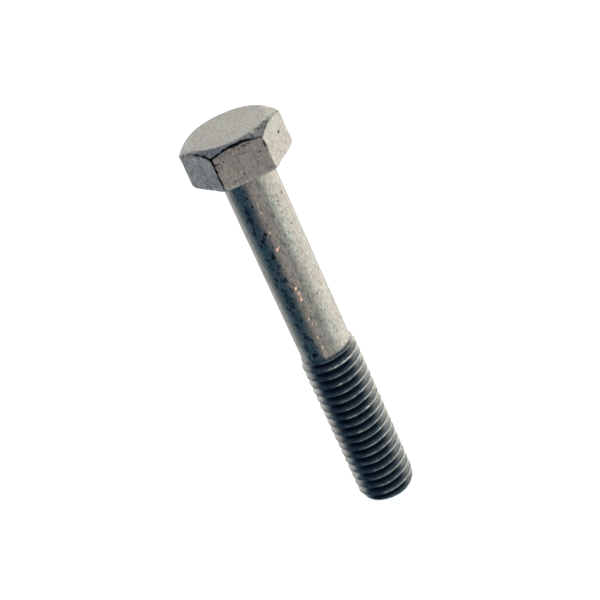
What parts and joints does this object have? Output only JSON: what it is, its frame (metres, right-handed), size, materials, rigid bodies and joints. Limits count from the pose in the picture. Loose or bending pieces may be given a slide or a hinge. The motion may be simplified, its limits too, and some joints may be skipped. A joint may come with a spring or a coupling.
{
  "type": "hex bolt",
  "caption": "Hex head bolt with a chamfered head, a plain reduced shank and a coarse right-hand thread on the lower half.",
  "frame": {"origin": "centre of the bearing face, on the bolt's axis where the head meets the shank", "axes": "+Z along the axis towards the top of the head, the shank and thread run down -Z, and one wrench flat faces -Y"},
  "size_m": [0.0164, 0.0142, 0.0694],
  "materials": {
    "zinc_coated_steel": "hot-dip zinc coating gone dull: matt mottled warm grey, pitted along the shank, darker in the thread"
  },
  "bodies": {
    "root": {"hex_bolt": "zinc_coated_steel"}
  },
  "joints": []
}
